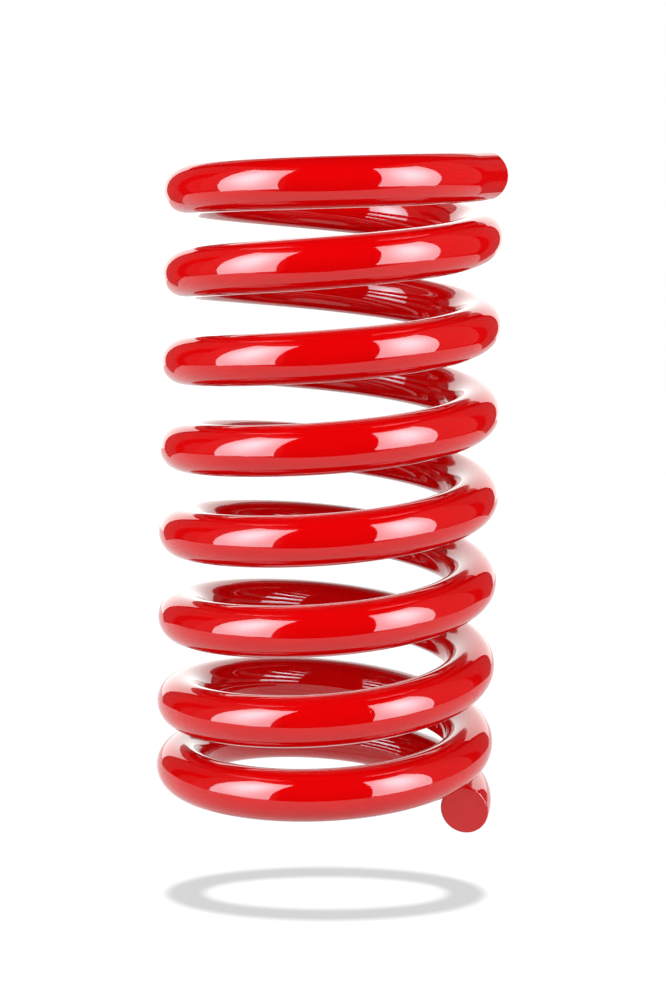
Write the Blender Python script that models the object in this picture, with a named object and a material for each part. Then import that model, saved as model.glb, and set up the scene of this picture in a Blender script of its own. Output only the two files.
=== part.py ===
"""Suspension coil spring: one round bar wound into a right-handed helix with closed, square-cut ends.

The bar is divided into stations, so that it can be pressed together. The lower end coil and the
upper end coil are dead coils that keep their shape. Between them the working coils are quarter
turns, which close up along the axis. Every cut between two stations lies in a plane that holds the
spring's axis, so that the stations slide past each other along it.

Frame: the spring's axis is Z, and the origin is on it, level with the lowest point of the bar.
"""

import math

import bmesh
import bpy
from mathutils import Vector

# Driving dimensions, in metres.
BAR_DIAMETER = 0.016
MEAN_COIL_RADIUS = 0.048
STATION_GAP = 0.0003

# Past the last wound point the bar leaves the coil's circle and runs out straight.
TIP_LENGTH = 0.0165

# Winding. A place along the bar is a count of turns from the bar's lower end.
START_ANGLE = math.radians(-16.0)
TURNS = 7.958
LOWER_DEAD_TURNS = 0.75
WORKING_TURNS = 6.25
QUARTER = 0.25
PITCH_STEP = 0.5                # turns between the pitches below

# Rise in one turn, each half turn from that end inwards. Both ends are wound closed.
LOWER_PITCHES = (0.0174, 0.0224, 0.0169, 0.0290)
WORKING_PITCH = 0.0283
UPPER_PITCHES = (0.0098, 0.0233, 0.0294, 0.0286)

# Fineness of the solids.
STEPS_IN_QUARTER = 9
BEVEL_RESOLUTION = 2
CAP_WELD = 1e-6
RIM_REACH = 0.51 * BAR_DIAMETER # from the middle of an end face to just outside its rim
SHARP_EDGE = math.radians(40.0)

COLLECTION_NAME = "coil_spring"
LOWER_END = "lower_end_coil"
UPPER_END = "upper_end_coil"

POWDER_COAT_RED = (0.72, 0.004, 0.006, 1.0)
COAT_ROUGHNESS = 0.12


def clear_scene():
    for obj in list(bpy.data.objects):
        bpy.data.objects.remove(obj, do_unlink=True)


def pitch_stations():
    """(turns, pitch) pairs from the lower end to the upper end. The pitch changes evenly between them."""
    low = [(PITCH_STEP * i, pitch) for i, pitch in enumerate(LOWER_PITCHES)]
    high = [(TURNS - PITCH_STEP * i, pitch) for i, pitch in enumerate(UPPER_PITCHES)]
    low.append((PITCH_STEP * len(LOWER_PITCHES), WORKING_PITCH))
    high.append((TURNS - PITCH_STEP * len(UPPER_PITCHES), WORKING_PITCH))
    return low + high[::-1]


def rise(turns):
    """Height of the bar's centre line above its lower end."""
    height = 0.0
    stations = pitch_stations()
    for (start, first), (end, last) in zip(stations, stations[1:]):
        run = min(max(turns, start), end) - start
        slope = (last - first) / (end - start)
        height += run * first + run * run * slope / 2
    return height


def wound_point(turns):
    angle = START_ANGLE + math.tau * turns
    across = MEAN_COIL_RADIUS * math.cos(angle)
    along = MEAN_COIL_RADIUS * math.sin(angle)
    return Vector((across, along, BAR_DIAMETER / 2 + rise(turns)))


def tip_point():
    """Middle of the upper sawn face. The straight tip keeps climbing as the end of the last turn does."""
    heading = START_ANGLE + math.tau * TURNS + math.pi / 2
    climb = UPPER_PITCHES[0] / (math.tau * MEAN_COIL_RADIUS)
    ahead = Vector((math.cos(heading), math.sin(heading), climb)).normalized()
    return wound_point(TURNS) + ahead * TIP_LENGTH


def wound_stretch(start, end):
    steps = max(1, round((end - start) / QUARTER * STEPS_IN_QUARTER))
    return [wound_point(start + (end - start) * i / steps) for i in range(steps + 1)]


def bar_object(name, points):
    """A round bar with flat ends along these points, as a closed mesh."""
    curve = bpy.data.curves.new(name + "_line", "CURVE")
    curve.dimensions = "3D"
    curve.bevel_depth = BAR_DIAMETER / 2
    curve.bevel_resolution = BEVEL_RESOLUTION
    curve.use_fill_caps = True
    spline = curve.splines.new("POLY")
    spline.points.add(len(points) - 1)
    for target, point in zip(spline.points, points):
        target.co = (*point, 1.0)
    line = bpy.data.objects.new(name + "_line", curve)
    bpy.context.scene.collection.objects.link(line)
    graph = bpy.context.evaluated_depsgraph_get()
    mesh = bpy.data.meshes.new_from_object(line.evaluated_get(graph))
    mesh.name = name
    bar = bpy.data.objects.new(name, mesh)
    bar.matrix_world = line.matrix_world
    bpy.data.objects.remove(line, do_unlink=True)
    bpy.data.curves.remove(curve)
    return bar


def weld_caps(bar):
    body = bmesh.new()
    body.from_mesh(bar.data)
    bmesh.ops.remove_doubles(body, verts=body.verts, dist=CAP_WELD)
    bmesh.ops.recalc_face_normals(body, faces=body.faces)
    body.to_mesh(bar.data)
    body.free()


def turn_end_face(bar, end, inner, turns, side):
    """Slides the rim of an end face along the bar, onto the plane that holds the axis at this place.

    end and inner are the bar's last point there and the point before it. side is 1 on the stretch
    above the cut and -1 on the stretch below it.
    """
    angle = START_ANGLE + math.tau * turns
    forward = Vector((-math.sin(angle), math.cos(angle), 0.0))
    on_plane = end + forward * (side * STATION_GAP / 2)
    along = (inner - end).normalized()
    for vert in bar.data.vertices:
        if (vert.co - end).length < RIM_REACH:
            vert.co += along * ((on_plane - vert.co).dot(forward) / along.dot(forward))


def shade_bar(bar):
    bar.data.shade_smooth()
    bar.data.set_sharp_from_angle(angle=SHARP_EDGE)


def powder_coat(name):
    material = bpy.data.materials.new(name + "_powder_coat")
    material.use_nodes = True
    shader = material.node_tree.nodes["Principled BSDF"]
    shader.inputs["Base Color"].default_value = POWDER_COAT_RED
    shader.inputs["Metallic"].default_value = 0.0
    shader.inputs["Roughness"].default_value = COAT_ROUGHNESS
    return material


def add_station(collection, name, points, low_cut=None, high_cut=None):
    """One stretch of the bar. A cut is the place, in turns, where it meets the next station."""
    bar = bar_object(name, points)
    weld_caps(bar)
    if low_cut is not None:
        turn_end_face(bar, points[0], points[1], low_cut, 1)
    if high_cut is not None:
        turn_end_face(bar, points[-1], points[-2], high_cut, -1)
    shade_bar(bar)
    bar.data.materials.append(powder_coat(name))
    collection.objects.link(bar)


def add_lower_end(collection):
    """Dead coil at the bottom. The bar's own end is sawn square."""
    points = wound_stretch(0.0, LOWER_DEAD_TURNS)
    add_station(collection, LOWER_END, points, high_cut=LOWER_DEAD_TURNS)


def add_quarter(collection, start):
    points = wound_stretch(start, start + QUARTER)
    turn = int(start) + 1
    quarter = round(start % 1.0 / QUARTER) + 1
    name = f"turn_{turn}_quarter_{quarter}"
    add_station(collection, name, points, low_cut=start, high_cut=start + QUARTER)


def add_upper_end(collection):
    """Dead coil at the top, which runs out into a short straight tip, also sawn square."""
    start = LOWER_DEAD_TURNS + WORKING_TURNS
    points = wound_stretch(start, TURNS) + [tip_point()]
    add_station(collection, UPPER_END, points, low_cut=start)


def build():
    clear_scene()
    collection = bpy.data.collections.new(COLLECTION_NAME)
    bpy.context.scene.collection.children.link(collection)
    add_lower_end(collection)
    for index in range(round(WORKING_TURNS / QUARTER)):
        add_quarter(collection, LOWER_DEAD_TURNS + QUARTER * index)
    add_upper_end(collection)


build()
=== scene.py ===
import math
from dataclasses import dataclass, replace

import bpy
from mathutils import Matrix, Vector


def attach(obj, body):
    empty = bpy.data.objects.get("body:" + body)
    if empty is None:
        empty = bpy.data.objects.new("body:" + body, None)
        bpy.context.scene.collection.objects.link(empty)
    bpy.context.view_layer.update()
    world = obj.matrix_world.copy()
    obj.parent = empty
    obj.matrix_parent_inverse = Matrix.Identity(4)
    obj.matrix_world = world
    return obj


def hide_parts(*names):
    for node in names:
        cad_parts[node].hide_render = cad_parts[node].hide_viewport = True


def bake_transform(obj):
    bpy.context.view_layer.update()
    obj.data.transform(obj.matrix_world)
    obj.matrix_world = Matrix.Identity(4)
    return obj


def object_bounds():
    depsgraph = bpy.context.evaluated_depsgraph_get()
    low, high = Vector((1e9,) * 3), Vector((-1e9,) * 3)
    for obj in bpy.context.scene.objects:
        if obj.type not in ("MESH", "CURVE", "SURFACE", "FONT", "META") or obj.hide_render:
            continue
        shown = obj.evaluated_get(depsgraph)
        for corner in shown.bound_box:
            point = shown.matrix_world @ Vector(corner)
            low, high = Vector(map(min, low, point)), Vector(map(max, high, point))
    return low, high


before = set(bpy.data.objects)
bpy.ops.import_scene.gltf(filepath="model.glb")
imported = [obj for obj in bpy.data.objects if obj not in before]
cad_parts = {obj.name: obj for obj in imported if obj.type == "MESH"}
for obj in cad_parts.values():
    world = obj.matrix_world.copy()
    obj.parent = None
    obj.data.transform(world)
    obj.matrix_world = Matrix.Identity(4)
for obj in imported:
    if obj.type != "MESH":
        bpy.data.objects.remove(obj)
CAD_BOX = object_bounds()

# The spring's winding, as in the CAD model, in metres. A place along the bar is a count of turns
# from the bar's lower end.
BAR_RADIUS = 0.008
COIL_RADIUS = 0.048
START_ANGLE = math.radians(-16.0)
TURNS = 7.958
PITCH_STEP = 0.5
LOWER_PITCHES = (0.0174, 0.0224, 0.0169, 0.0290)
WORKING_PITCH = 0.0283
UPPER_PITCHES = (0.0098, 0.0233, 0.0294, 0.0286)
LOWER_CUT = 0.75                # turns where the lower dead coil ends
UPPER_CUT = 7.0                 # turns where the upper dead coil starts
QUARTER = 0.25

# Past the last wound place the bar leaves the coil's circle and runs out straight.
TIP_LENGTH = 0.0165
TIP_RINGS = 8

# When the spring is pressed, a stretch closes by what its pitch is above this one.
CLOSED_PITCH = 0.0175
CLOSING_STEPS = 400

# Fineness of the bar.
RINGS_IN_QUARTER = 30
SIDES = 72
RIM_STEPS = 8

# Rounding of each sawn rim, and how much more it has at the underside.
LOWER_RIM = (0.0007, 0.0)
UPPER_RIM = (0.0026, 0.0006)

LOWER_BODY = "lower_end_coil"
UPPER_BODY = "upper_end_coil"
PLACE = "bar_place"             # vertex attribute: the point in the bar's own straight frame

FLOOR_DROP = 0.027              # the floor lies this far under the spring's lowest point

# The oval card that casts the flat ring-shaped shadow: half sizes of its rim and of its hole.
SHADOW_RIM = (0.0542, 0.0240)
SHADOW_HOLE = (0.0410, 0.0142)
SHADOW_PLACE = Vector((0.0014, 0.0028, -0.004))
SHADOW_TURN = math.radians(2.4)
SHADOW_STEPS = 96


# ---------------------------------------------------------------- the bar's line

def pitch_stations():
    low = [(PITCH_STEP * i, pitch) for i, pitch in enumerate(LOWER_PITCHES)]
    high = [(TURNS - PITCH_STEP * i, pitch) for i, pitch in enumerate(UPPER_PITCHES)]
    low.append((PITCH_STEP * len(LOWER_PITCHES), WORKING_PITCH))
    high.append((TURNS - PITCH_STEP * len(UPPER_PITCHES), WORKING_PITCH))
    return low + high[::-1]


STATIONS = pitch_stations()


def pitch_at(turns):
    for (start, first), (end, last) in zip(STATIONS, STATIONS[1:]):
        if turns <= end:
            return first + (last - first) * (turns - start) / (end - start)
    return STATIONS[-1][1]


def rise(turns):
    height = 0.0
    for (start, first), (end, last) in zip(STATIONS, STATIONS[1:]):
        run = min(max(turns, start), end) - start
        height += run * first + run * run * (last - first) / (end - start) / 2
    return height


def closing_table():
    """How far a place has come down when the upper end has come down by 1, at even steps of turns."""
    step = (UPPER_CUT - LOWER_CUT) / CLOSING_STEPS
    total = 0.0
    sums = [0.0]
    for i in range(CLOSING_STEPS):
        total += max(pitch_at(LOWER_CUT + (i + 0.5) * step) - CLOSED_PITCH, 0.0)
        sums.append(total)
    return [value / total for value in sums]


CLOSING = closing_table()


def closing_share(turns):
    place = (turns - LOWER_CUT) / (UPPER_CUT - LOWER_CUT) * CLOSING_STEPS
    place = min(max(place, 0.0), float(CLOSING_STEPS))
    index = min(int(place), CLOSING_STEPS - 1)
    return CLOSING[index] + (CLOSING[index + 1] - CLOSING[index]) * (place - index)


@dataclass
class Ring:
    """One ring of the bar's skin. lean tips its normals from straight out towards `along`."""
    centre: Vector
    along: Vector
    outward: Vector
    place: float
    share: float
    lean: float = 0.0
    rounding: tuple = (0.0, 0.0)

    def skin_point(self, over):
        """Where the skin is: how far out, and how far along. over is 1 on top and -1 underneath."""
        least, more = self.rounding
        rounding = least + more * max(0.0, -over) ** 2
        out = BAR_RADIUS - rounding * (1.0 - math.cos(self.lean))
        past = rounding * (abs(math.sin(self.lean)) - 1.0) * math.copysign(1.0, self.lean)
        return out, past if self.rounding[0] else 0.0


def wound_ring(turns):
    angle = START_ANGLE + math.tau * turns
    outward = Vector((math.cos(angle), math.sin(angle), 0.0))
    pitch = pitch_at(turns)
    along = Vector((-math.sin(angle), math.cos(angle), pitch / (math.tau * COIL_RADIUS))).normalized()
    centre = outward * COIL_RADIUS + Vector((0.0, 0.0, BAR_RADIUS + rise(turns)))
    return Ring(centre, along, outward, math.tau * COIL_RADIUS * turns, closing_share(turns))


def moved_ring(ring, distance):
    """The ring slid straight along the bar."""
    centre = ring.centre + ring.along * distance
    return replace(ring, centre=centre, place=ring.place + distance)


def wound_rings(start, end):
    count = max(2, round((end - start) / QUARTER * RINGS_IN_QUARTER))
    return [wound_ring(start + (end - start) * i / count) for i in range(count + 1)]


def tip_rings():
    """The bar past the last wound place, up to its sawn end."""
    start = wound_ring(TURNS)
    return [moved_ring(start, TIP_LENGTH * step / TIP_RINGS) for step in range(1, TIP_RINGS + 1)]


def sawn_rim(end_ring, side, rounding):
    """Rings over the rounded rim of a sawn end. side is 1 at the upper end and -1 at the lower end."""
    rings = []
    for step in range(RIM_STEPS + 1):
        lean = side * math.pi / 2 * step / RIM_STEPS
        rings.append(replace(end_ring, lean=lean, rounding=rounding))
    return rings


# ---------------------------------------------------------------- pieces

def new_mesh(name, points, faces):
    mesh = bpy.data.meshes.new(name)
    mesh.from_pydata(points, [], faces)
    return mesh


def add_object(name, data):
    added = bpy.data.objects.new(name, data)
    bpy.context.scene.collection.objects.link(added)
    return added


def bar_faces(ring_count):
    """The bar's sides, then its low cap and its high cap."""
    last = (ring_count - 1) * SIDES
    faces = []
    for low in range(0, last, SIDES):
        for side in range(SIDES):
            after = (side + 1) % SIDES
            faces.append((low + side, low + SIDES + side, low + SIDES + after, low + after))
    faces.append(tuple(range(SIDES)))
    faces.append(tuple(range(last, last + SIDES))[::-1])
    return faces


def skin_bar(name, rings, sawn=()):
    """A closed bar through these rings. sawn names its real ends, 'low' or 'high'."""
    points = []
    normals = []
    places = []
    shares = []
    for ring in rings:
        over = ring.outward.cross(ring.along)
        for side in range(SIDES):
            angle = math.tau * side / SIDES
            across = math.cos(angle)
            up = math.sin(angle)
            radial = ring.outward * across + over * up
            out, past = ring.skin_point(up)
            points.append(ring.centre + radial * out + ring.along * past)
            normals.append(radial * math.cos(ring.lean) + ring.along * math.sin(ring.lean))
            places.extend((ring.place + past, across * out, up * out))
            shares.append(ring.share)

    mesh = new_mesh(name, points, bar_faces(len(rings)))
    mesh.validate()
    place = mesh.attributes.new(PLACE, "FLOAT_VECTOR", "POINT")
    place.data.foreach_set("vector", places)
    mesh.shade_smooth()
    caps = (mesh.polygons[-2], mesh.polygons[-1])
    corner_normals = [normals[loop.vertex_index] for loop in mesh.loops]
    for cap, ring, facing in ((caps[0], rings[0], -1), (caps[1], rings[-1], 1)):
        for corner in cap.loop_indices:
            corner_normals[corner] = ring.along * facing
    mesh.normals_split_custom_set(corner_normals)
    mesh.materials.append(COAT)
    mesh.materials.append(SAWN_COAT)
    if "low" in sawn:
        caps[0].material_index = 1
    if "high" in sawn:
        caps[1].material_index = 1
    return add_object(name, mesh), shares


def add_lower_end():
    """The dead coil at the bottom, with the bar's lower sawn face."""
    rings = wound_rings(0.0, LOWER_CUT)
    rim = sawn_rim(rings[0], -1, LOWER_RIM)
    rim.reverse()
    piece, _ = skin_bar("bar_lower_end", rim + rings[1:], sawn=("low",))
    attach(piece, LOWER_BODY)
    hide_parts(LOWER_BODY)


def add_upper_end():
    """The dead coil at the top and its tip, with the bar's upper sawn face."""
    rings = wound_rings(UPPER_CUT, TURNS) + tip_rings()
    # The rounded rim starts below the last ring but one, so it stands for both.
    rim = sawn_rim(rings[-1], 1, UPPER_RIM)
    piece, _ = skin_bar("bar_upper_end", rings[:-2] + rim, sawn=("high",))
    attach(piece, UPPER_BODY)
    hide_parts(UPPER_BODY)


def add_quarter(start):
    """A quarter turn of the working coils, meeting its neighbours without a step at its ends."""
    turn = int(start) + 1
    quarter = round(start % 1.0 / QUARTER) + 1
    rings = wound_rings(start, start + QUARTER)
    piece, shares = skin_bar(f"bar_turn_{turn}_quarter_{quarter}", rings)
    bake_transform(piece)
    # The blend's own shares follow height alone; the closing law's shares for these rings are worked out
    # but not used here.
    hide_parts(f"turn_{turn}_quarter_{quarter}")


# ---------------------------------------------------------------- finish

def new_material(name):
    material = bpy.data.materials.new(name)
    material.use_nodes = True
    return material, material.node_tree.nodes, material.node_tree.links


def noise(nodes, links, place, scale, detail):
    texture = nodes.new("ShaderNodeTexNoise")
    texture.inputs["Scale"].default_value = scale
    texture.inputs["Detail"].default_value = detail
    links.new(place, texture.inputs["Vector"])
    return texture.outputs["Fac"]


def ramp(nodes, links, value, stops):
    """stops are (position, grey) pairs."""
    node = nodes.new("ShaderNodeValToRGB")
    elements = node.color_ramp.elements
    while len(elements) < len(stops):
        elements.new(0.5)
    for element, (position, grey) in zip(elements, stops):
        element.position = position
        element.color = (grey, grey, grey, 1.0)
    links.new(value, node.inputs["Fac"])
    return node.outputs["Color"]


def bump(nodes, links, height, distance, below=None):
    node = nodes.new("ShaderNodeBump")
    node.inputs["Strength"].default_value = 1.0
    node.inputs["Distance"].default_value = distance
    links.new(height, node.inputs["Height"])
    if below is not None:
        links.new(below, node.inputs["Normal"])
    return node.outputs["Normal"]


def stretch(nodes, links, place, factors):
    node = nodes.new("ShaderNodeMapping")
    node.inputs["Scale"].default_value = factors
    links.new(place, node.inputs["Vector"])
    return node.outputs["Vector"]


COAT_RED = (0.60, 0.0006, 0.0012, 1.0)
COAT_DEEP_RED = (0.54, 0.0005, 0.0010, 1.0)
COAT_IOR = 1.5
COAT_SPECULAR_LEVEL = 0.5

# Least and most roughness, and the height of the orange peel in metres.
COAT_ROUGHNESS = (0.030, 0.050)
COAT_PEEL = 0.000006
SAWN_ROUGHNESS = (0.30, 0.40)
SAWN_PEEL = 0.00003

# Scale and detail of each noise.
THICKNESS_NOISE = (90.0, 3.0)
GLOSS_NOISE = (260.0, 2.0)
PEEL_NOISE = (260.0, 1.0)
FINE_PEEL_NOISE = (900.0, 1.0)

THICKNESS_STOPS = ((0.35, 0.0), (0.75, 0.5))
GLOSS_SPAN = (0.3, 0.7)         # the noise values that give the least and the most roughness
PEEL_STRETCH = (0.6, 1.0, 1.0)
FINE_PEEL_SHARE = 0.12          # height of the finer waves, as a share of the long ones

SPECK_SCALE = 75.0
SPECK_STOPS = ((0.0, 1.0), (0.016, 0.0))
SPECK_HEIGHT = 0.00003


def coat_material(name, roughness, peel):
    """Glossy red powder coat. peel is the height of its orange peel in metres."""
    material, nodes, links = new_material(name)
    shader = nodes["Principled BSDF"]
    shader.inputs["IOR"].default_value = COAT_IOR
    shader.inputs["Specular IOR Level"].default_value = COAT_SPECULAR_LEVEL
    attribute = nodes.new("ShaderNodeAttribute")
    attribute.attribute_name = PLACE
    place = attribute.outputs["Vector"]

    # The red is a little deeper where the coat is thicker.
    thickness = noise(nodes, links, place, *THICKNESS_NOISE)
    tint = nodes.new("ShaderNodeMix")
    tint.data_type = "RGBA"
    tint.inputs["A"].default_value = COAT_RED
    tint.inputs["B"].default_value = COAT_DEEP_RED
    links.new(ramp(nodes, links, thickness, THICKNESS_STOPS), tint.inputs["Factor"])
    links.new(tint.outputs["Result"], shader.inputs["Base Color"])

    gloss = noise(nodes, links, place, *GLOSS_NOISE)
    gloss_stops = tuple(zip(GLOSS_SPAN, roughness))
    links.new(ramp(nodes, links, gloss, gloss_stops), shader.inputs["Roughness"])

    # Orange peel: long soft waves along the bar, then finer ones, then single specks of dust.
    waves = noise(nodes, links, stretch(nodes, links, place, PEEL_STRETCH), *PEEL_NOISE)
    normal = bump(nodes, links, waves, peel)
    fine = noise(nodes, links, place, *FINE_PEEL_NOISE)
    normal = bump(nodes, links, fine, peel * FINE_PEEL_SHARE, below=normal)
    specks = nodes.new("ShaderNodeTexVoronoi")
    specks.inputs["Scale"].default_value = SPECK_SCALE
    links.new(place, specks.inputs["Vector"])
    dots = ramp(nodes, links, specks.outputs["Distance"], SPECK_STOPS)
    normal = bump(nodes, links, dots, SPECK_HEIGHT, below=normal)
    links.new(normal, shader.inputs["Normal"])
    return material


# ---------------------------------------------------------------- studio

# Panels: distances, widths and heights in metres, azimuths in degrees. A glow is the strength of a
# panel's light in its middle and at its edge.
FLOOR_HEIGHT = CAD_BOX[0].z - FLOOR_DROP
WHITE = (1.0, 1.0, 1.0)
PANEL_STEPS = 16
GLOW_REACH = 1.15               # where the edge's strength is reached, in half panels from the middle

SOFTBOXES = (("right", 50.0, 0.45), ("left", -57.0, 0.47))     # name, azimuth, width
SOFTBOX_DISTANCE = 0.64
SOFTBOX_BOTTOM = FLOOR_HEIGHT - 0.02
SOFTBOX_TOP = 0.96
SOFTBOX_BOW = 0.05
SOFTBOX_COLOUR = (0.60, 0.92, 1.0)
SOFTBOX_GLOW = (19.5, 8.5)
SOFTBOX_LIGHT_WIDTH = 0.52
SOFTBOX_LIGHT_TOP = 1.05
SOFTBOX_LIGHT_GLOW = (5.5, 4.0)

REFLECTORS = (("right", 72.0, 1.55), ("left", -66.0, 1.10))    # name, azimuth, width
REFLECTOR_DISTANCE = 0.95
REFLECTOR_TOP = 1.9
REFLECTOR_COLOUR = (1.0, 0.95, 0.95)
REFLECTOR_GLOW = (0.32, 0.28)

BACKDROP_AZIMUTH = 180.0
BACKDROP_DISTANCE = 0.90
BACKDROP_WIDTH = 1.24
BACKDROP_TOP = 0.72
BACKDROP_COLOUR = (0.88, 1.0, 0.98)
BACKDROP_GLOW = (2.35, 2.25)
BACKDROP_LIGHT_GLOW = (0.8, 0.6)

UPPER_BACKDROP_DISTANCE = 0.92
UPPER_BACKDROP_WIDTH = 1.10
UPPER_BACKDROP_TOP = 1.25
UPPER_BACKDROP_COLOUR = (1.0, 0.97, 0.94)
UPPER_BACKDROP_GLOW = (0.50, 0.40)

# The table is a wide front part, and a rear part that widens from near to far.
TABLE_HALF_WIDTH = 0.70
TABLE_NEAR_HALF_WIDTH = 0.30
TABLE_FAR_HALF_WIDTH = 0.62
TABLE_FRONT = -0.33
TABLE_MIDDLE = 0.33
TABLE_BACK = 0.90
TABLE_PAINT = (0.10, 0.10, 0.10, 1.0)
TABLE_LIGHT = 0.60
TABLE_BOUNCE = 0.65

OVERHEAD_ENERGY = 12.5
OVERHEAD_ANGLE = math.radians(13.0)
OVERHEAD_HEIGHT = 1.5

# The room that the gloss sees, as (how far the ray points to either side, grey), and the light that
# the room gives to everything else.
ROOM_GREYS = ((0.50, 0.012), (0.56, 0.15), (0.79, 0.15), (0.82, 0.02), (0.90, 0.02), (0.92, 0.15))
ROOM_LIGHT = (0.01, 0.01, 0.01, 1.0)


def glow_material(name, colour, middle, edge):
    """Light of a panel, from its middle to its edge. The panel's own x and y run from -1 to 1."""
    material, nodes, links = new_material(name)
    nodes.remove(nodes["Principled BSDF"])
    coordinates = nodes.new("ShaderNodeTexCoord")
    length = nodes.new("ShaderNodeVectorMath")
    length.operation = "LENGTH"
    links.new(coordinates.outputs["Object"], length.inputs[0])
    fall = nodes.new("ShaderNodeMapRange")
    fall.interpolation_type = "SMOOTHSTEP"
    fall.inputs["From Min"].default_value = 0.0
    fall.inputs["From Max"].default_value = GLOW_REACH
    fall.inputs["To Min"].default_value = middle
    fall.inputs["To Max"].default_value = edge
    links.new(length.outputs["Value"], fall.inputs["Value"])
    light = nodes.new("ShaderNodeEmission")
    light.inputs["Color"].default_value = (*colour, 1.0)
    links.new(fall.outputs["Result"], light.inputs["Strength"])
    links.new(light.outputs["Emission"], nodes["Material Output"].inputs["Surface"])
    return material


def panel_mesh(name, bow):
    """A sheet from -1 to 1. bow is how far its upright edges stand forward, in metres."""
    points = []
    for step in range(PANEL_STEPS + 1):
        x = 2.0 * step / PANEL_STEPS - 1.0
        points.append((x, -1.0, bow * x * x))
        points.append((x, 1.0, bow * x * x))
    faces = [(2 * i, 2 * i + 2, 2 * i + 3, 2 * i + 1) for i in range(PANEL_STEPS)]
    return new_mesh(name, points, faces)


def add_panel(name, azimuth, distance, width, bottom, top, material,
              bow=0.0, diffuse=False, glossy=True):
    """An upright glowing panel that faces the spring's axis. Azimuth 0 is in front, 90 at the right."""
    mesh = panel_mesh(name, bow)
    mesh.materials.append(material)
    panel = add_object(name, mesh)
    angle = math.radians(azimuth)
    back = Vector((math.sin(angle), -math.cos(angle), 0.0))
    middle = back * distance + Vector((0.0, 0.0, (top + bottom) / 2))
    turned = (-back).to_track_quat("Z", "Y").to_matrix().to_4x4()
    size = Matrix.Diagonal((width / 2, (top - bottom) / 2, 1.0, 1.0))
    panel.matrix_world = Matrix.Translation(middle) @ turned @ size
    panel.visible_camera = False
    panel.visible_diffuse = diffuse
    panel.visible_glossy = glossy
    panel.visible_shadow = False


def add_softboxes():
    """Two tall softboxes in front. The gloss mirrors one panel of each, and the other lights the red."""
    mirrored = glow_material("softbox_face", SOFTBOX_COLOUR, *SOFTBOX_GLOW)
    lighting = glow_material("softbox_light", WHITE, *SOFTBOX_LIGHT_GLOW)
    for side, azimuth, width in SOFTBOXES:
        add_panel(f"softbox_{side}", azimuth, SOFTBOX_DISTANCE, width, SOFTBOX_BOTTOM, SOFTBOX_TOP,
                  mirrored, bow=SOFTBOX_BOW)
        add_panel(f"softbox_{side}_light", azimuth, SOFTBOX_DISTANCE, SOFTBOX_LIGHT_WIDTH,
                  FLOOR_HEIGHT, SOFTBOX_LIGHT_TOP, lighting, diffuse=True, glossy=False)


def add_reflectors():
    """Large dim cards behind the softboxes."""
    dim = glow_material("reflector_face", REFLECTOR_COLOUR, *REFLECTOR_GLOW)
    for side, azimuth, width in REFLECTORS:
        add_panel(f"reflector_{side}", azimuth, REFLECTOR_DISTANCE, width, FLOOR_HEIGHT,
                  REFLECTOR_TOP, dim)


def add_backdrop():
    """White paper behind the spring, the light it gives the red, and the grey wall above it."""
    white = glow_material("backdrop_paper", BACKDROP_COLOUR, *BACKDROP_GLOW)
    add_panel("backdrop", BACKDROP_AZIMUTH, BACKDROP_DISTANCE, BACKDROP_WIDTH, FLOOR_HEIGHT,
              BACKDROP_TOP, white)
    soft = glow_material("backdrop_light", WHITE, *BACKDROP_LIGHT_GLOW)
    add_panel("backdrop_light", BACKDROP_AZIMUTH, BACKDROP_DISTANCE, BACKDROP_WIDTH, FLOOR_HEIGHT,
              BACKDROP_TOP, soft, diffuse=True, glossy=False)
    grey = glow_material("backdrop_top", UPPER_BACKDROP_COLOUR, *UPPER_BACKDROP_GLOW)
    add_panel("backdrop_top", BACKDROP_AZIMUTH, UPPER_BACKDROP_DISTANCE, UPPER_BACKDROP_WIDTH,
              BACKDROP_TOP, UPPER_BACKDROP_TOP, grey)


def floor_material():
    """White table. Its own light keeps it white, and the overhead light draws the shadow."""
    material, nodes, links = new_material("white_table")
    nodes.remove(nodes["Principled BSDF"])
    matt = nodes.new("ShaderNodeBsdfDiffuse")
    matt.inputs["Color"].default_value = TABLE_PAINT
    light = nodes.new("ShaderNodeEmission")
    light.inputs["Strength"].default_value = TABLE_LIGHT
    both = nodes.new("ShaderNodeAddShader")
    links.new(matt.outputs["BSDF"], both.inputs[0])
    links.new(light.outputs["Emission"], both.inputs[1])
    links.new(both.outputs["Shader"], nodes["Material Output"].inputs["Surface"])
    return material


def table_mesh():
    corners = [
        (-TABLE_HALF_WIDTH, TABLE_FRONT, 0.0),
        (TABLE_HALF_WIDTH, TABLE_FRONT, 0.0),
        (TABLE_HALF_WIDTH, TABLE_MIDDLE, 0.0),
        (TABLE_NEAR_HALF_WIDTH, TABLE_MIDDLE, 0.0),
        (TABLE_FAR_HALF_WIDTH, TABLE_BACK, 0.0),
        (-TABLE_FAR_HALF_WIDTH, TABLE_BACK, 0.0),
        (-TABLE_NEAR_HALF_WIDTH, TABLE_MIDDLE, 0.0),
        (-TABLE_HALF_WIDTH, TABLE_MIDDLE, 0.0),
    ]
    return new_mesh("table_top", corners, [(0, 1, 2, 3, 6, 7), (3, 4, 5, 6)])


def add_floor():
    mesh = table_mesh()
    mesh.materials.append(floor_material())
    floor = add_object("table_top", mesh)
    floor.location.z = FLOOR_HEIGHT
    floor.visible_diffuse = False

    # What the white table throws back onto the red from below.
    glow = add_object("table_glow", mesh.copy())
    glow.data.materials.clear()
    glow.data.materials.append(glow_material("table_glow", WHITE, TABLE_BOUNCE, TABLE_BOUNCE))
    glow.location.z = FLOOR_HEIGHT
    glow.visible_camera = False
    glow.visible_glossy = False
    glow.visible_shadow = False
    return floor


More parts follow.
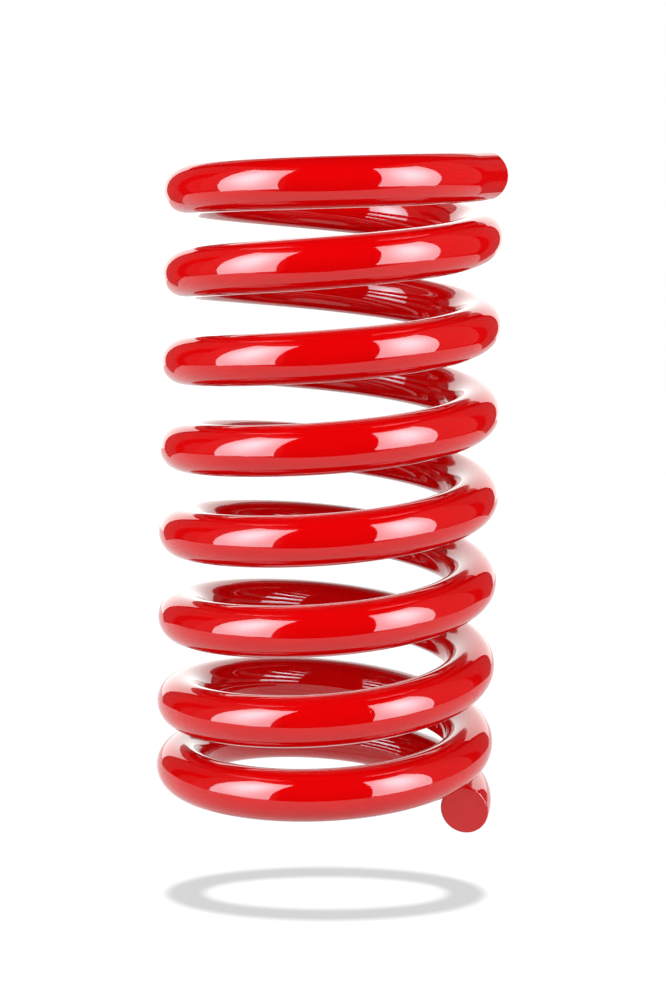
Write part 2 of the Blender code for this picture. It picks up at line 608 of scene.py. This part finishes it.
def add_shadow_card():
    """A flat oval ring under the spring. Only the overhead light sees it."""
    points = []
    for half_width, half_depth in (SHADOW_RIM, SHADOW_HOLE):
        for step in range(SHADOW_STEPS):
            angle = math.tau * step / SHADOW_STEPS
            points.append((half_width * math.cos(angle), half_depth * math.sin(angle), 0.0))
    faces = []
    for step in range(SHADOW_STEPS):
        after = (step + 1) % SHADOW_STEPS
        faces.append((step, after, SHADOW_STEPS + after, SHADOW_STEPS + step))
    card = add_object("shadow_card", new_mesh("shadow_card", points, faces))
    card.location = SHADOW_PLACE
    card.rotation_euler.z = SHADOW_TURN
    card.visible_camera = False
    card.visible_diffuse = False
    card.visible_glossy = False
    return card


def add_overhead_light(floor, card):
    """Straight down, for the shadow on the table. Only the table takes its light."""
    lamp = bpy.data.lights.new("overhead", "SUN")
    lamp.energy = OVERHEAD_ENERGY
    lamp.angle = OVERHEAD_ANGLE
    light = add_object("overhead", lamp)
    light.location.z = OVERHEAD_HEIGHT
    lit = bpy.data.collections.new("lit_by_overhead")
    lit.objects.link(floor)
    light.light_linking.receiver_collection = lit
    shading = bpy.data.collections.new("shades_overhead")
    shading.objects.link(card)
    light.light_linking.blocker_collection = shading


def add_world():
    """White behind everything for the camera. The gloss sees a dim room with a dark middle."""
    world = bpy.data.worlds.new("studio")
    world.use_nodes = True
    bpy.context.scene.world = world
    nodes = world.node_tree.nodes
    links = world.node_tree.links
    background = nodes["Background"]
    coordinates = nodes.new("ShaderNodeTexCoord")
    parts = nodes.new("ShaderNodeSeparateXYZ")
    links.new(coordinates.outputs["Generated"], parts.inputs["Vector"])
    side = nodes.new("ShaderNodeMath")
    side.operation = "ABSOLUTE"
    links.new(parts.outputs["X"], side.inputs[0])
    room = ramp(nodes, links, side.outputs["Value"], ROOM_GREYS)
    seen = nodes.new("ShaderNodeLightPath")
    mirrored = nodes.new("ShaderNodeMix")
    mirrored.data_type = "RGBA"
    links.new(seen.outputs["Is Glossy Ray"], mirrored.inputs["Factor"])
    mirrored.inputs["A"].default_value = ROOM_LIGHT
    links.new(room, mirrored.inputs["B"])
    mix = nodes.new("ShaderNodeMix")
    mix.data_type = "RGBA"
    links.new(seen.outputs["Is Camera Ray"], mix.inputs["Factor"])
    links.new(mirrored.outputs["Result"], mix.inputs["A"])
    mix.inputs["B"].default_value = (*WHITE, 1.0)
    links.new(mix.outputs["Result"], background.inputs["Color"])


# ---------------------------------------------------------------- camera

CAMERA_PLACE = Vector((-0.00285, -0.62717, 0.21864))
CAMERA_YAW = -0.0052
CAMERA_PITCH = 0.0811           # down from level, in radians
CAMERA_ROLL = 0.0168
CAMERA_LENS = 68.82
CAMERA_SHIFT = -0.179
CAMERA_CLIP_START = 0.01


def add_camera():
    data = bpy.data.cameras.new("camera")
    data.lens = CAMERA_LENS
    data.shift_y = CAMERA_SHIFT
    data.clip_start = CAMERA_CLIP_START
    camera = add_object("camera", data)
    level = math.cos(CAMERA_PITCH)
    ahead = Vector((-math.sin(CAMERA_YAW) * level, math.cos(CAMERA_YAW) * level, -math.sin(CAMERA_PITCH)))
    right = ahead.cross(Vector((0.0, 0.0, 1.0))).normalized()
    up = right.cross(ahead)
    turned_right = right * math.cos(CAMERA_ROLL) + up * math.sin(CAMERA_ROLL)
    turned_up = up * math.cos(CAMERA_ROLL) - right * math.sin(CAMERA_ROLL)
    turn = Matrix((turned_right, turned_up, -ahead)).transposed().to_4x4()
    camera.matrix_world = Matrix.Translation(CAMERA_PLACE) @ turn
    bpy.context.scene.camera = camera


# ---------------------------------------------------------------- the scene

COAT = coat_material("red_powder_coat", COAT_ROUGHNESS, COAT_PEEL)
SAWN_COAT = coat_material("red_powder_coat_on_sawn_face", SAWN_ROUGHNESS, SAWN_PEEL)

add_camera()
add_lower_end()
for index in range(round((UPPER_CUT - LOWER_CUT) / QUARTER)):
    add_quarter(LOWER_CUT + QUARTER * index)
add_upper_end()
add_softboxes()
add_reflectors()
add_backdrop()
add_overhead_light(add_floor(), add_shadow_card())
add_world()
bpy.context.scene.view_settings.view_transform = "Standard"
